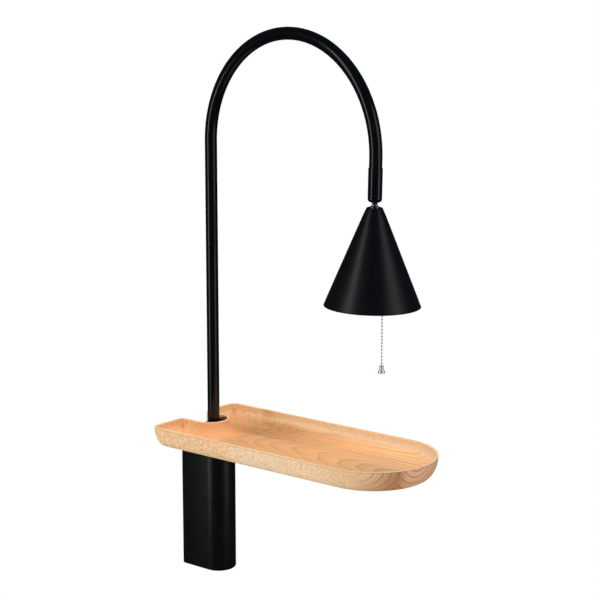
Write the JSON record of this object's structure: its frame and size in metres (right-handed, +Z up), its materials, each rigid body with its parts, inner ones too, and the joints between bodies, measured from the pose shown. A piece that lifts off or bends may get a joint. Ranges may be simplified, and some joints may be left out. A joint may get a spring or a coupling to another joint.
{
  "type": "wall lamp with shelf",
  "caption": "Wall lamp with a wooden tray: a slim housing on the wall carries the tray and an arched tube with a cone shade on a ball joint and a pull-chain switch.",
  "frame": {"origin": "middle of the wall bracket's two screw slots, on the wall plane", "axes": "+Z up, +Y into the wall and -Y out into the room, +X to the right seen from the room"},
  "size_m": [0.165, 0.385, 0.7285],
  "materials": {
    "black_paint": "satin black powder coat",
    "zinc_steel": "bright zinc plate",
    "wood": "clear satin lacquer on beech",
    "nylon": "moulded, matt",
    "rubber": "moulded, matt",
    "lead_jacket": "extruded, smooth",
    "brass": "bright",
    "dark_nickel": "polished black nickel",
    "nickel": "polished nickel",
    "black_plastic": "moulded, satin",
    "opal_glass": "opal"
  },
  "bodies": {
    "wall_base": {"wall_bracket": "zinc_steel", "housing": "black_paint", "base_plate": "black_paint", "cap_plate": "zinc_steel", "housing_screw": "black_paint", "tray_plate": "black_paint", "tray": "wood", "tray_screws": "zinc_steel", "post_cover": "black_plastic", "cap_screws": "zinc_steel", "post_sleeve": "zinc_steel", "upper_bush": "nylon", "lower_bush": "nylon", "thrust_washer": "nylon", "stop_screw": "zinc_steel", "terminal_block": "nylon", "terminal_screws": "brass", "block_screws": "zinc_steel", "cable_grommet": "rubber", "earth_screw": "brass", "supply_lead": "lead_jacket"},
    "arm": {"arm_tube": "black_paint", "ball_socket": "black_paint", "retaining_ring": "zinc_steel", "arm_lead": "lead_jacket"},
    "ball_seats": {"lower_seat": "nylon", "upper_seat": "nylon"},
    "ball": {"swivel_ball": "dark_nickel"},
    "lamp_head": {"shade_stem": "dark_nickel", "neck_collar": "dark_nickel", "shade": "black_paint", "shade_nut": "dark_nickel", "lamp_holder": "black_plastic", "screw_shell": "brass", "centre_contact": "brass", "lamp_cap": "nickel", "lamp_glass": "opal_glass", "chain_guide": "brass", "head_lead": "lead_jacket", "pull_spring": "zinc_steel"},
    "plunger": {"switch_plunger": "brass"},
    "hook": {"chain_hook": "nickel"},
    "chain": {"bead_chain": "nickel", "bell_pull": "nickel"}
  },
  "joints": [
    {"name": "arm_swivel", "type": "hinge", "parent": "wall_base", "child": "arm", "pos_m": [0, -0.0375, 0.092], "axis": [0, 0, 1], "range_deg": [-71, 79]},
    {"name": "head_turn", "type": "hinge", "parent": "arm", "child": "ball_seats", "pos_m": [-0.0196, -0.31777, 0.43906], "axis": [-0.0015, -0.0209, 0.9998], "range_deg": [-175, 175]},
    {"name": "head_tilt", "type": "hinge", "parent": "ball_seats", "child": "ball", "pos_m": [-0.0196, -0.31777, 0.43906], "axis": [0.9976, -0.0698, 0], "range_deg": [-25, 25]},
    {"name": "shade_spin", "type": "hinge", "parent": "ball", "child": "lamp_head", "pos_m": [-0.0196, -0.31777, 0.43906], "axis": [-0.0015, -0.0209, 0.9998], "range_deg": [-170, 170]},
    {"name": "switch_pull", "type": "slide", "parent": "lamp_head", "child": "plunger", "axis": [0.0015, 0.0209, -0.9998], "range_m": [0, 0.006], "stiffness_N_per_m": 700, "springref_m": -0.003, "deforming": ["pull_spring"]},
    {"name": "chain_swing", "type": "hinge", "parent": "plunger", "child": "hook", "pos_m": [-0.02622, -0.33488, 0.35667], "axis": [0.9415, -0.3371, 0], "range_deg": [-25, 5]},
    {"name": "chain_swing_side", "type": "hinge", "parent": "hook", "child": "chain", "pos_m": [-0.02622, -0.33488, 0.35357], "axis": [0.3371, 0.9415, 0], "range_deg": [-28, 28]}
  ]
}
